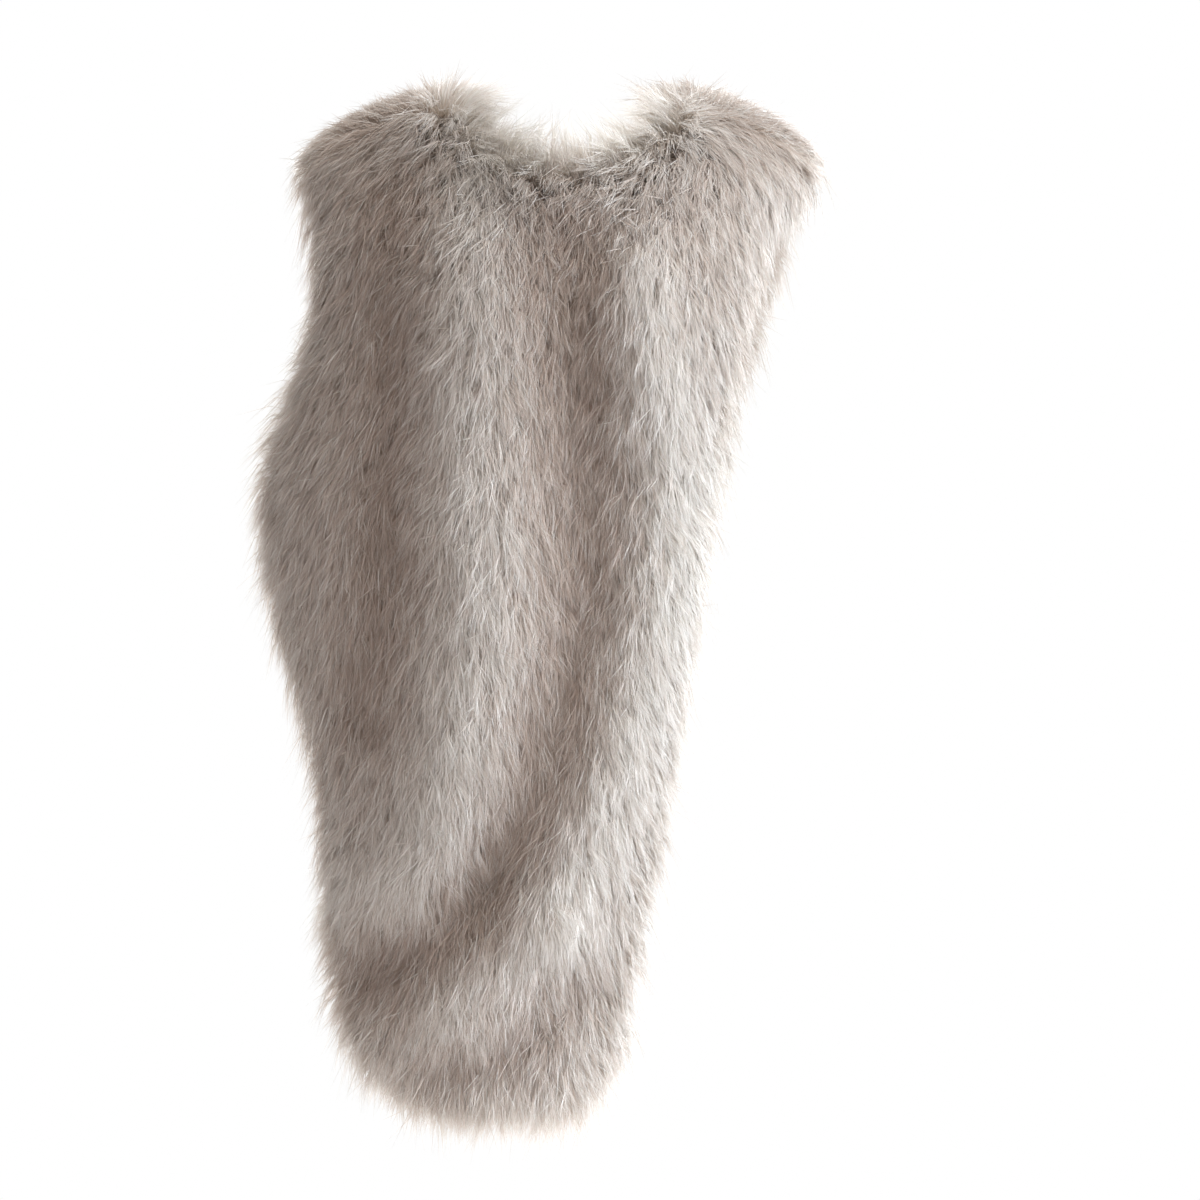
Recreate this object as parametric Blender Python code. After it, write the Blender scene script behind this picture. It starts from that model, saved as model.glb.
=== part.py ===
"""A long-pile faux fur vest with open sides, held in the hollow shape it has when it is worn.

The vest is cut in three pieces: a back that tapers to a rounded tail, and two fronts that run
from a seam behind the shoulder, over the shoulder and down the chest. Each piece is one wall.
Its inner face is the cloth, its outer face is where the pile ends, and its free edges are
rounded where the pile wraps round them and stands out past the cloth.

Metres, +Z up. The wearer faces -Y, and +X is the wearer's left. The origin is midway between
the shoulders at the neck, level with the underside of the cloth that rests on them.
"""

import math

import bmesh
import bpy
import numpy as np

PILE = 0.022  # from the inner face of the cloth to where the pile ends
FRINGE = 0.018  # how far the pile stands out past a free edge of the cloth
TUFT = 0.0022  # how far the locks of the pile rise and sink on the outer face
RAGGED = 0.30  # how much the locks vary the fringe, as a share of it
SEAM_GAP = 0.0003
LIP_STEPS = 4  # faces round a free edge, from the inner face to the outer one

NECK_X = 0.079  # half the width of the neck opening at the shoulder seams
LEFT_TIP_X = 0.203
RIGHT_TIP_X = 0.192
NECK_POINT_Y = 0.035
NECK_POINT_Z = -0.012
TIP_DROP = 0.040  # how far the shoulder falls from the neck to its tip
SHOULDER_ROUND = 0.0095  # how far the shoulder's line bows up between the two
FLOW_ANGLE = math.radians(37)  # slope at which the cloth crosses the shoulder seam
NAPE_Y = 0.078
NAPE_Z = -0.058
NAPE_ROUND = 1.2  # 1 makes the back neckline half an ellipse, and 2 a shallow bow

SEAM_COLUMNS = 7
NECK_COLUMNS = 10
BACK_ROWS = 46
FRONT_COLUMNS = 12
FRONT_ROWS = 46
NORMAL_PASSES = 5  # how often the normals are averaged with their neighbours

# The back panel's edges and depth at each height. It hangs from the shoulder blades and has
# swung to the wearer's left.
BACK_FIELDS = ("z", "right_x", "left_x", "right_y", "mid_y", "left_y")
BACK_GIRTHS = (
    (-0.052, -0.190, 0.203, 0.010, 0.100, 0.010),
    (-0.085, -0.160, 0.192, 0.040, 0.116, 0.034),
    (-0.130, -0.142, 0.187, 0.064, 0.130, 0.050),
    (-0.180, -0.128, 0.190, 0.078, 0.138, 0.056),
    (-0.230, -0.117, 0.207, 0.084, 0.141, 0.055),
    (-0.290, -0.106, 0.226, 0.089, 0.144, 0.052),
    (-0.345, -0.099, 0.231, 0.095, 0.147, 0.054),
    (-0.400, -0.091, 0.220, 0.102, 0.151, 0.064),
    (-0.470, -0.079, 0.199, 0.110, 0.156, 0.082),
    (-0.540, -0.067, 0.183, 0.118, 0.160, 0.099),
    (-0.620, -0.053, 0.177, 0.125, 0.163, 0.110),
    (-0.700, -0.038, 0.177, 0.132, 0.165, 0.119),
    (-0.790, -0.031, 0.176, 0.138, 0.166, 0.128),
)
HEM_Z = -0.779  # the lowest point of the back's cut edge
HEM_LOW_U = -0.45  # where along the hem that point lies, from -1 on the right to 1 on the left
HEM_SQUARENESS = 3.6  # 2 makes each side of the hem part of an ellipse, more squares it
LEFT_CORNER_RISE = 0.130
RIGHT_CORNER_RISE = 0.066
BODY_ROUND = 2.2  # 2 bows the back's width like a circle, more keeps its middle flatter
WAIST_DEPTH = 0.06  # how far below its top edge the back takes on the widths of the table
SETTLE_DEPTH = 0.12  # how far below its top edge the back takes on the depths of the table

# Soft folds of the back, as lines down the cloth. A positive height is a ridge.
FOLD_FIELDS = ("height", "width", "points")
BACK_FOLDS = (
    (-0.013, 0.030, ((0.122, -0.08), (0.124, -0.24), (0.132, -0.36), (0.148, -0.47))),
    (0.011, 0.032, ((0.076, -0.08), (0.080, -0.24), (0.068, -0.36), (0.086, -0.50), (0.118, -0.60))),
    (-0.017, 0.036, ((-0.004, -0.11), (-0.008, -0.24), (-0.008, -0.40), (0.018, -0.51), (0.054, -0.60))),
    (-0.013, 0.030, ((0.054, -0.60), (0.098, -0.645), (0.140, -0.672))),
    (-0.007, 0.026, ((0.140, -0.64), (0.148, -0.70))),
    (0.012, 0.027, ((-0.056, -0.13), (-0.079, -0.28), (-0.067, -0.40), (-0.034, -0.52), (0.012, -0.62))),
    (0.009, 0.026, ((0.012, -0.62), (0.056, -0.66), (0.094, -0.70))),
    (-0.008, 0.022, ((-0.006, -0.678), (0.040, -0.724), (0.100, -0.740))),
    (0.005, 0.026, ((0.166, -0.60), (0.166, -0.68), (0.146, -0.73))),
)

# A front panel's inner edge, along the neck and down the front opening, and its outer edge,
# along the armhole and the open side. The bows are how far the middle stands out between them.
FRONT_FIELDS = (
    "in_x", "in_y", "in_z", "out_x", "out_y", "out_z", "bow_y", "bow_z",
)  # fmt: skip
FRONT_SECTIONS = (
    (0.079, 0.000, 0.000, 0.200, -0.014, -0.039, 0.000, 0.0095),
    (0.077, -0.040, -0.013, 0.194, -0.044, -0.057, -0.004, 0.0080),
    (0.073, -0.072, -0.046, 0.181, -0.066, -0.096, -0.008, 0.0040),
    (0.064, -0.098, -0.096, 0.167, -0.082, -0.144, -0.010, 0.0),
    (0.053, -0.120, -0.156, 0.155, -0.094, -0.198, -0.010, 0.0),
    (0.043, -0.133, -0.224, 0.145, -0.103, -0.256, -0.009, 0.0),
    (0.037, -0.138, -0.300, 0.137, -0.110, -0.322, -0.008, 0.0),
    (0.035, -0.138, -0.400, 0.126, -0.114, -0.410, -0.007, 0.0),
    (0.035, -0.136, -0.520, 0.114, -0.117, -0.524, -0.006, 0.0),
    (0.036, -0.135, -0.640, 0.103, -0.119, -0.640, -0.005, 0.0),
)
FRONT_OUT_RISE = 0.070  # how far the front's outer corner is rounded off above its hem
FRONT_OUT_SHARE = 0.65  # the share of the front's width that this takes
FRONT_OUT_SQUARENESS = 2.2
FRONT_IN_RISE = 0.040
FRONT_IN_SHARE = 0.25
FRONT_SETTLE = (0.06, 0.18)  # the folds of a front grow to full size between these depths
LEAN = math.radians(4.6)  # the fronts hang this far off plumb, towards the wearer's left
LEAN_FROM = 0.12  # how far below the neck the lean begins
FRONT_FOLDS = (
    (-0.006, 0.026, ((0.078, -0.16), (0.080, -0.34), (0.084, -0.52))),
    (0.005, 0.024, ((0.118, -0.22), (0.110, -0.42), (0.098, -0.60))),
)

# The small ups and downs of the locks: how far each point of the fringe or of the outer face
# is moved is a wave over its row and column, so that no two neighbours are alike.
FRINGE_WAVE = 1.7
LAP_ROWS = 4  # a lock laps over the next one down every so many rows
LAP_SHARE = 0.7
STRAY_SHARE = 0.6
STRAY_WAVES = ((1.9, 2.3), (1.3, -1.1))

FUR_COLOUR = (0.62, 0.57, 0.52, 1.0)


def unit(vectors):
    """Vectors along the last axis, made one long."""
    return vectors / np.linalg.norm(vectors, axis=-1, keepdims=True)


def through(places, values, at):
    """A smooth curve through values at places, read at the given places."""
    places = np.asarray(places, float)
    values = np.asarray(values, float)
    slopes = np.gradient(values, places, axis=0)
    at = np.clip(at, places[0], places[-1])
    k = np.clip(np.searchsorted(places, at, side="right") - 1, 0, len(places) - 2)
    span = places[k + 1] - places[k]
    t = (at - places[k]) / span
    if values.ndim > 1:
        span = span[..., None]
        t = t[..., None]
    start = (2 * t**3 - 3 * t**2 + 1) * values[k] + (t**3 - 2 * t**2 + t) * span * slopes[k]
    end = (3 * t**2 - 2 * t**3) * values[k + 1] + (t**3 - t**2) * span * slopes[k + 1]
    return start + end


def column(table, fields, name):
    """One named column of a table."""
    return [row[fields.index(name)] for row in table]


def crowded_at_ends(count):
    """Places from -1 to 1 that lie closer together towards both ends."""
    return np.sin(np.linspace(-math.pi / 2, math.pi / 2, count + 1))


def fold_height(x, z, folds):
    """How far the folds lift the cloth off its plain form at (x, z)."""
    total = np.zeros_like(x)
    for row in folds:
        fold = dict(zip(FOLD_FIELDS, row))
        nearest = np.full_like(x, np.inf)
        for (x0, z0), (x1, z1) in zip(fold["points"], fold["points"][1:]):
            across, down = x1 - x0, z1 - z0
            t = ((x - x0) * across + (z - z0) * down) / (across**2 + down**2)
            t = np.clip(t, 0, 1)
            away = np.hypot(x - x0 - t * across, z - z0 - t * down)
            nearest = np.minimum(nearest, away)
        total += fold["height"] * np.exp(-((nearest / fold["width"]) ** 2))
    return total


def settled(grid, passes):
    """A grid of vectors, each averaged with its neighbours along both ways of the grid."""
    for _ in range(passes):
        for axis in (0, 1):
            edge = [(0, 0)] * grid.ndim
            edge[axis] = (1, 1)
            wide = np.moveaxis(np.pad(grid, edge, mode="edge"), axis, 0)
            grid = np.moveaxis((wide[:-2] + 2 * wide[1:-1] + wide[2:]) / 4, 0, axis)
    return grid


def normals_of(cloth):
    """Unit normals of a grid of points, on the side away from the wearer."""
    down = np.gradient(cloth, axis=0)
    across = np.gradient(cloth, axis=1)
    normals = unit(settled(unit(np.cross(across, down)), NORMAL_PASSES))
    middle = normals[len(normals) // 2].mean(axis=0)
    centre = cloth[len(cloth) // 2].mean(axis=0)
    return normals if middle[1] * centre[1] > 0 else -normals


FLOW = np.array((0.0, math.cos(FLOW_ANGLE), -math.sin(FLOW_ANGLE)))


def shoulder_seam(x):
    """Points of a shoulder seam at x. It lies in one plane, square to the cloth's flow."""
    tip = np.where(x > 0, LEFT_TIP_X, RIGHT_TIP_X)
    s = (np.abs(x) - NECK_X) / (tip - NECK_X)
    z = NECK_POINT_Z - TIP_DROP * s + SHOULDER_ROUND * 4 * s * (1 - s)
    y = NECK_POINT_Y + (z - NECK_POINT_Z) * math.tan(FLOW_ANGLE)
    return np.stack((x, y, z), axis=-1)


def seam_normals(x):
    """The cloth's normals along a shoulder seam, which both its pieces share."""
    step = 1e-4
    along = shoulder_seam(x + step) - shoulder_seam(x - step)
    normals = unit(np.cross(along, FLOW))
    return normals * np.sign(normals[..., 2:])


def back_top():
    """The back's top edge: right shoulder seam, neckline, left shoulder seam."""
    seam = np.sin(np.linspace(0, math.pi / 2, SEAM_COLUMNS + 1))
    right = -NECK_X - (RIGHT_TIP_X - NECK_X) * seam[::-1]
    left = NECK_X + (LEFT_TIP_X - NECK_X) * seam
    turn = np.linspace(-math.pi / 2, math.pi / 2, NECK_COLUMNS + 1)[1:-1]
    across = np.cos(turn) ** NAPE_ROUND
    neckline = np.stack(
        (
            NECK_X * np.sin(turn),
            NECK_POINT_Y + (NAPE_Y - NECK_POINT_Y) * across,
            NECK_POINT_Z + (NAPE_Z - NECK_POINT_Z) * across,
        ),
        axis=-1,
    )
    top = np.concatenate((shoulder_seam(right), neckline, shoulder_seam(left)))
    on_seam = np.abs(top[:, 0]) >= NECK_X - 1e-9
    return top, on_seam


def back_panel():
    """The back's cloth as a grid of points, its normals, and which of its edge is seam."""
    top, on_seam = back_top()
    u = crowded_at_ends(len(top) - 1)
    reach = np.where(u > HEM_LOW_U, 1 - HEM_LOW_U, 1 + HEM_LOW_U)
    rise = np.where(u > HEM_LOW_U, LEFT_CORNER_RISE, RIGHT_CORNER_RISE)
    corner = np.clip(np.abs(u - HEM_LOW_U) / reach, 0, 1)
    hem_z = HEM_Z + rise * (1 - np.sqrt(1 - corner**HEM_SQUARENESS))

    v = np.linspace(0, 1, BACK_ROWS + 1)[:, None]
    z = top[:, 2] + (hem_z - top[:, 2]) * v
    girth = {
        name: through(
            -np.array(column(BACK_GIRTHS, BACK_FIELDS, "z")),
            column(BACK_GIRTHS, BACK_FIELDS, name),
            -z,
        )
        for name in BACK_FIELDS[1:]
    }
    x = girth["right_x"] + (girth["left_x"] - girth["right_x"]) * (u + 1) / 2
    edge_y = np.where(u > 0, girth["left_y"], girth["right_y"])
    body_y = girth["mid_y"] + (edge_y - girth["mid_y"]) * np.abs(u) ** BODY_ROUND
    settle = np.clip((top[:, 2] - z) / SETTLE_DEPTH, 0, 1)
    narrow = np.clip((top[:, 2] - z) / WAIST_DEPTH, 0, 1)
    x = top[:, 0] + (x - top[:, 0]) * narrow * (2 - narrow)
    y = top[:, 1] + (body_y - top[:, 1]) * (1 - (1 - settle) ** 2)
    y += fold_height(x, z, BACK_FOLDS) * settle

    cloth = np.stack((x, y, z), axis=-1)
    cloth[0] = top
    normals = normals_of(cloth)
    normals[0, on_seam] = seam_normals(top[on_seam, 0])
    cloth[0, on_seam] += FLOW * SEAM_GAP / 2
    return cloth, normals, on_seam


def front_panel(side, tip_x):
    """One front's cloth as a grid of points from its seam to its hem, and its normals."""
    a = (crowded_at_ends(FRONT_COLUMNS) + 1) / 2
    seam_x = side * (NECK_X + (tip_x - NECK_X) * a)
    seam = shoulder_seam(seam_x)

    def section(row):
        get = dict(zip(FRONT_FIELDS, row))
        bow = 4 * a * (1 - a)
        x = get["in_x"] + (get["out_x"] * tip_x / LEFT_TIP_X - get["in_x"]) * a
        y = get["in_y"] + (get["out_y"] - get["in_y"]) * a + get["bow_y"] * bow
        z = get["in_z"] + (get["out_z"] - get["in_z"]) * a + get["bow_z"] * bow
        return np.stack((side * x, y, z), axis=-1)

    sections = np.stack([seam] + [section(row) for row in FRONT_SECTIONS])
    steps = np.linalg.norm(np.diff(sections.mean(axis=1), axis=0), axis=1)
    places = np.concatenate(([0], np.cumsum(steps)))

    outer = np.clip(1 - (1 - a) / FRONT_OUT_SHARE, 0, 1)
    inner = np.clip(1 - a / FRONT_IN_SHARE, 0, 1)
    rise = FRONT_OUT_RISE * (1 - np.sqrt(1 - outer**FRONT_OUT_SQUARENESS))
    rise += FRONT_IN_RISE * (1 - np.sqrt(1 - inner**2))
    v = np.linspace(0, 1, FRONT_ROWS + 1)
    cloth = np.empty((FRONT_ROWS + 1, FRONT_COLUMNS + 1, 3))
    for j in range(FRONT_COLUMNS + 1):
        cloth[:, j] = through(places, sections[:, j], v * (places[-1] - rise[j]))
    start, full = FRONT_SETTLE
    settle = np.clip((-cloth[..., 2] - start) / (full - start), 0, 1)
    cloth[..., 1] -= fold_height(side * cloth[..., 0], cloth[..., 2], FRONT_FOLDS) * settle
    cloth[..., 0] += math.tan(LEAN) * np.maximum(-cloth[..., 2] - LEAN_FROM, 0)
    normals = normals_of(cloth)
    normals[0] = seam_normals(seam_x)
    cloth[0] -= FLOW * SEAM_GAP / 2
    return cloth, normals


def rim_of(rows, columns):
    """The grid's border as (row, column) pairs, once round."""
    top = [(0, j) for j in range(columns)]
    right = [(i, columns - 1) for i in range(1, rows)]
    bottom = [(rows - 1, j) for j in range(columns - 2, -1, -1)]
    left = [(i, 0) for i in range(rows - 2, 0, -1)]
    return top + right + bottom + left


def fringe_of(cloth, normals, rim, on_seam):
    """For each point of the rim, how far and which way the pile stands out past the cloth."""
    points = np.array([cloth[r] for r in rim])
    along = unit(np.roll(points, -1, axis=0) - np.roll(points, 1, axis=0))
    out = np.cross(along, np.array([normals[r] for r in rim]))
    out = unit(np.roll(out, 1, axis=0) + 2 * out + np.roll(out, -1, axis=0))
    middle = cloth.reshape(-1, 3).mean(axis=0)
    if np.einsum("ij,ij->i", out, points - middle).mean() < 0:
        out = -out
    length = np.full(len(rim), FRINGE)
    for k, (i, j) in enumerate(rim):
        length[k] *= 1 + RAGGED * (1 if k % 2 else -1) * abs(math.sin(FRINGE_WAVE * k + i))
        if i > 0 or not on_seam[j]:
            continue
        beside = [c for c in (j - 1, j + 1) if 0 <= c < len(on_seam) and on_seam[c]]
        length[k] = 0.0
        if len(beside) == 1:
            length[k] = FRINGE
            out[k] = unit(cloth[0, j] - cloth[0, beside[0]])
    return out, length


def tufts(rows, columns):
    """Locks of the pile over the outer face, lapping like shingles down the nap."""
    i, j = np.mgrid[0:rows, 0:columns]
    stagger = LAP_ROWS // 2 * ((j // 2) % 2)
    lap = ((i + stagger) % LAP_ROWS) / (LAP_ROWS - 1)
    first, second = (a * i + b * j for a, b in STRAY_WAVES)
    stray = np.sin(first) * np.cos(second)
    raised = TUFT * (LAP_SHARE * (2 * lap - 1) + STRAY_SHARE * stray)
    raised[0] = raised[-1] = 0
    raised[:, 0] = raised[:, -1] = 0
    return raised


def pile_wall(name, cloth, normals, on_seam, material):
    """Joins the cloth's inner face, the pile's outer face and a rounded lip into one solid."""
    rows, columns = cloth.shape[:2]
    rim = rim_of(rows, columns)
    out, length = fringe_of(cloth, normals, rim, on_seam)
    height = PILE + tufts(rows, columns)
    outer = cloth + normals * height[..., None]
    lips = []
    for k, r in enumerate(rim):
        for step in range(1, LIP_STEPS):
            angle = math.pi * step / LIP_STEPS
            rise = normals[r] * PILE * (1 - math.cos(angle)) / 2
            lips.append(cloth[r] + rise + out[k] * length[k] * math.sin(angle))

    shell = bmesh.new()
    inner_verts = [[shell.verts.new(p) for p in row] for row in cloth]
    outer_verts = [[shell.verts.new(p) for p in row] for row in outer]
    lip_verts = [shell.verts.new(p) for p in lips]
    for grid in (inner_verts, outer_verts):
        for i in range(rows - 1):
            for j in range(columns - 1):
                shell.faces.new((grid[i][j], grid[i][j + 1], grid[i + 1][j + 1], grid[i + 1][j]))
    between = LIP_STEPS - 1
    rails = [
        [inner_verts[i][j], *lip_verts[k * between : (k + 1) * between], outer_verts[i][j]]
        for k, (i, j) in enumerate(rim)
    ]
    for k, rail in enumerate(rails):
        following = rails[(k + 1) % len(rails)]
        for step in range(LIP_STEPS):
            shell.faces.new((rail[step], rail[step + 1], following[step + 1], following[step]))
    bmesh.ops.recalc_face_normals(shell, faces=shell.faces)

    mesh = bpy.data.meshes.new(name)
    shell.to_mesh(mesh)
    shell.free()
    mesh.materials.append(material)
    mesh.shade_smooth()
    return bpy.data.objects.new(name, mesh)


def fur_material():
    """Ivory faux fur."""
    material = bpy.data.materials.new("faux_fur")
    material.use_nodes = True
    shader = material.node_tree.nodes["Principled BSDF"]
    shader.inputs["Base Color"].default_value = FUR_COLOUR
    shader.inputs["Roughness"].default_value = 0.8
    shader.inputs["Metallic"].default_value = 0.0
    return material


def main():
    for old in list(bpy.data.objects):
        bpy.data.objects.remove(old)
    vest = bpy.data.collections.new("faux_fur_vest")
    bpy.context.scene.collection.children.link(vest)
    fur = fur_material()

    cloth, normals, on_seam = back_panel()
    vest.objects.link(pile_wall("back_panel", cloth, normals, on_seam, fur))

    all_seam = np.ones(FRONT_COLUMNS + 1, bool)
    for name, side, tip_x in (("left_front", 1, LEFT_TIP_X), ("right_front", -1, RIGHT_TIP_X)):
        cloth, normals = front_panel(side, tip_x)
        vest.objects.link(pile_wall(name, cloth, normals, all_seam, fur))


main()
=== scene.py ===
# %% [markdown]
# # A long-pile faux fur vest
# The vest is three pieces of fur fabric: a back that tapers to a rounded tail, and two fronts that
# come over the shoulders from a seam just behind them. Fur fabric is a thin knitted backing with
# long fibres set in it, so the scene is built the same way: thin cloth first, then the pile.

import math

import bpy
import numpy as np
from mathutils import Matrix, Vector


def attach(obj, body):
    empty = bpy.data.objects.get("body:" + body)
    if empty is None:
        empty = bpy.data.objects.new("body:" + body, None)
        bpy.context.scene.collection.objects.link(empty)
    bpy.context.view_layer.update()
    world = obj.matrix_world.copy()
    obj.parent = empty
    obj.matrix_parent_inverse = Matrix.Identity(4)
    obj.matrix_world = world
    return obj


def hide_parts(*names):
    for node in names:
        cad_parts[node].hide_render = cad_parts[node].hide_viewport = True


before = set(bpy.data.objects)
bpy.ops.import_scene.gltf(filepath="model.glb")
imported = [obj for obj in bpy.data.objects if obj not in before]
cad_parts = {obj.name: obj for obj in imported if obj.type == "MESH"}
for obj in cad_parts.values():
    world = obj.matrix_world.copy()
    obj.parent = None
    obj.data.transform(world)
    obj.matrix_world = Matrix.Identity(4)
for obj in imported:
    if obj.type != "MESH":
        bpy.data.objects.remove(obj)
bpy.ops.object.select_all(action="DESELECT")
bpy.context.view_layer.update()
print("panels:", sorted(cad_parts))

# %% [markdown]
# ## The camera
# The vest was photographed from behind with a long lens, held a little above its middle. In a
# square picture a 105 mm lens sees about a metre at this distance, so lines stay nearly parallel
# and the panels keep their proportions.

# %% Place the camera
LENS_MM = 105
LOOK_AT = Vector((-0.027, 0.14, -0.392))
CAMERA_DISTANCE = 2.7
CAMERA_LIFT = math.radians(4)


def add_object(name, data):
    """A new object that shows a mesh, a lamp or a camera, linked to the scene."""
    thing = bpy.data.objects.new(name, data)
    bpy.context.scene.collection.objects.link(thing)
    return thing


camera = add_object("camera", bpy.data.cameras.new("camera"))
camera.data.lens = LENS_MM
toward_camera = Vector((0, math.cos(CAMERA_LIFT), math.sin(CAMERA_LIFT)))
camera.location = LOOK_AT + CAMERA_DISTANCE * toward_camera
camera.rotation_euler = (-toward_camera).to_track_quat("-Z", "Y").to_euler()
bpy.context.scene.camera = camera
print("camera at", tuple(round(c, 3) for c in camera.location))

# %% [markdown]
# ## The cut of the vest
# The cloth follows the solids' inner faces, so the sizes are the solids' own. The table gives the
# back's edges and depth at each height: it stands a little further out the lower it goes, and has
# swung towards +X. A table of a few sections and a smooth curve through them is easier to read
# and to change than a list of points.

# %% Sizes of the panels
NECK_X = 0.079
LEFT_TIP_X = 0.203
RIGHT_TIP_X = 0.192
NECK_POINT_Y = 0.035
NECK_POINT_Z = -0.012
TIP_DROP = 0.040
SHOULDER_ROUND = 0.0095
FLOW_ANGLE = math.radians(37)
NAPE_Y = 0.078
NAPE_Z = -0.058
NAPE_ROUND = 1.2
SEAM_GAP = 0.0003

BACK_FIELDS = ("z", "right_x", "left_x", "right_y", "mid_y", "left_y")
BACK_GIRTHS = (
    (-0.052, -0.190, 0.203, 0.010, 0.100, 0.010),
    (-0.085, -0.160, 0.192, 0.040, 0.116, 0.034),
    (-0.130, -0.142, 0.187, 0.064, 0.130, 0.050),
    (-0.180, -0.128, 0.190, 0.078, 0.138, 0.056),
    (-0.230, -0.117, 0.207, 0.084, 0.141, 0.055),
    (-0.290, -0.106, 0.226, 0.089, 0.144, 0.052),
    (-0.345, -0.099, 0.231, 0.095, 0.147, 0.054),
    (-0.400, -0.091, 0.220, 0.102, 0.151, 0.064),
    (-0.470, -0.079, 0.199, 0.110, 0.156, 0.082),
    (-0.540, -0.067, 0.183, 0.118, 0.160, 0.099),
    (-0.620, -0.053, 0.177, 0.125, 0.163, 0.110),
    (-0.700, -0.038, 0.177, 0.132, 0.165, 0.119),
    (-0.790, -0.031, 0.176, 0.138, 0.166, 0.128),
)
HEM_Z = -0.779
HEM_LOW_U = -0.45
HEM_SQUARENESS = 3.6
LEFT_CORNER_RISE = 0.130
RIGHT_CORNER_RISE = 0.066
BODY_ROUND = 2.2
WAIST_DEPTH = 0.06
SETTLE_DEPTH = 0.12

FRONT_FIELDS = (
    "in_x", "in_y", "in_z", "out_x", "out_y", "out_z", "bow_y", "bow_z",
)  # fmt: skip
FRONT_SECTIONS = (
    (0.079, 0.000, 0.000, 0.200, -0.014, -0.039, 0.000, 0.0095),
    (0.077, -0.040, -0.013, 0.194, -0.044, -0.057, -0.004, 0.0080),
    (0.073, -0.072, -0.046, 0.181, -0.066, -0.096, -0.008, 0.0040),
    (0.064, -0.098, -0.096, 0.167, -0.082, -0.144, -0.010, 0.0),
    (0.053, -0.120, -0.156, 0.155, -0.094, -0.198, -0.010, 0.0),
    (0.043, -0.133, -0.224, 0.145, -0.103, -0.256, -0.009, 0.0),
    (0.037, -0.138, -0.300, 0.137, -0.110, -0.322, -0.008, 0.0),
    (0.035, -0.138, -0.400, 0.126, -0.114, -0.410, -0.007, 0.0),
    (0.035, -0.136, -0.520, 0.114, -0.117, -0.524, -0.006, 0.0),
    (0.036, -0.135, -0.640, 0.103, -0.119, -0.640, -0.005, 0.0),
)
FRONT_OUT_RISE = 0.070
FRONT_OUT_SHARE = 0.65
FRONT_OUT_SQUARENESS = 2.2
FRONT_IN_RISE = 0.040
FRONT_IN_SHARE = 0.25
FRONT_SETTLE = (0.06, 0.18)
LEAN = math.radians(4.6)
LEAN_FROM = 0.12

# %% [markdown]
# ## Folds
# A hanging panel has soft troughs and ridges that run down it. Each is a line on the cloth with a
# height and a width, and the cloth rises or sinks near the line by a bell curve. The back's long
# trough on the left, the ridge down its middle and the crease that turns under the left hip are
# the ones that the light picks out.

# %% Lines of the folds
FOLD_FIELDS = ("height", "width", "points")
BACK_FOLDS = (
    (-0.013, 0.030, ((0.122, -0.08), (0.124, -0.24), (0.132, -0.36), (0.148, -0.47))),
    (0.011, 0.032, ((0.076, -0.08), (0.080, -0.24), (0.068, -0.36), (0.086, -0.50), (0.118, -0.60))),
    (-0.017, 0.036, ((-0.004, -0.11), (-0.008, -0.24), (-0.008, -0.40), (0.018, -0.51), (0.054, -0.60))),
    (-0.013, 0.030, ((0.054, -0.60), (0.098, -0.645), (0.140, -0.672))),
    (-0.007, 0.026, ((0.140, -0.64), (0.148, -0.70))),
    (0.012, 0.027, ((-0.056, -0.13), (-0.079, -0.28), (-0.067, -0.40), (-0.034, -0.52), (0.012, -0.62))),
    (0.009, 0.026, ((0.012, -0.62), (0.056, -0.66), (0.094, -0.70))),
    (-0.008, 0.022, ((-0.006, -0.678), (0.040, -0.724), (0.100, -0.740))),
    (0.005, 0.026, ((0.166, -0.60), (0.166, -0.68), (0.146, -0.73))),
)
FRONT_FOLDS = (
    (-0.006, 0.026, ((0.078, -0.16), (0.080, -0.34), (0.084, -0.52))),
    (0.005, 0.024, ((0.118, -0.22), (0.110, -0.42), (0.098, -0.60))),
)


def fold_height(x, z, folds):
    """How far the folds lift the cloth off its plain form at (x, z)."""
    total = np.zeros_like(x)
    for row in folds:
        fold = dict(zip(FOLD_FIELDS, row))
        nearest = np.full_like(x, np.inf)
        for (x0, z0), (x1, z1) in zip(fold["points"], fold["points"][1:]):
            across, down = x1 - x0, z1 - z0
            t = ((x - x0) * across + (z - z0) * down) / (across**2 + down**2)
            t = np.clip(t, 0, 1)
            away = np.hypot(x - x0 - t * across, z - z0 - t * down)
            nearest = np.minimum(nearest, away)
        total += fold["height"] * np.exp(-((nearest / fold["width"]) ** 2))
    return total


# %% [markdown]
# ## Curves and normals
# Arrays do the sums for a whole panel at once. One helper draws a smooth curve through the rows of
# a table, others space points along an edge, and the last finds which way the cloth faces.

# %% Helpers for grids of points
FLOW = np.array((0.0, math.cos(FLOW_ANGLE), -math.sin(FLOW_ANGLE)))
NORMAL_PASSES = 12


def unit(vectors):
    """Vectors along the last axis, made one long."""
    return vectors / np.maximum(np.linalg.norm(vectors, axis=-1, keepdims=True), 1e-12)


def through(places, values, at):
    """A smooth curve through values at places, read at the given places."""
    places = np.asarray(places, float)
    values = np.asarray(values, float)
    slopes = np.gradient(values, places, axis=0)
    at = np.clip(at, places[0], places[-1])
    k = np.clip(np.searchsorted(places, at, side="right") - 1, 0, len(places) - 2)
    span = places[k + 1] - places[k]
    t = (at - places[k]) / span
    if values.ndim > 1:
        span = span[..., None]
        t = t[..., None]
    start = (2 * t**3 - 3 * t**2 + 1) * values[k] + (t**3 - 2 * t**2 + t) * span * slopes[k]
    end = (3 * t**2 - 2 * t**3) * values[k + 1] + (t**3 - t**2) * span * slopes[k + 1]
    return start + end


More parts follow.
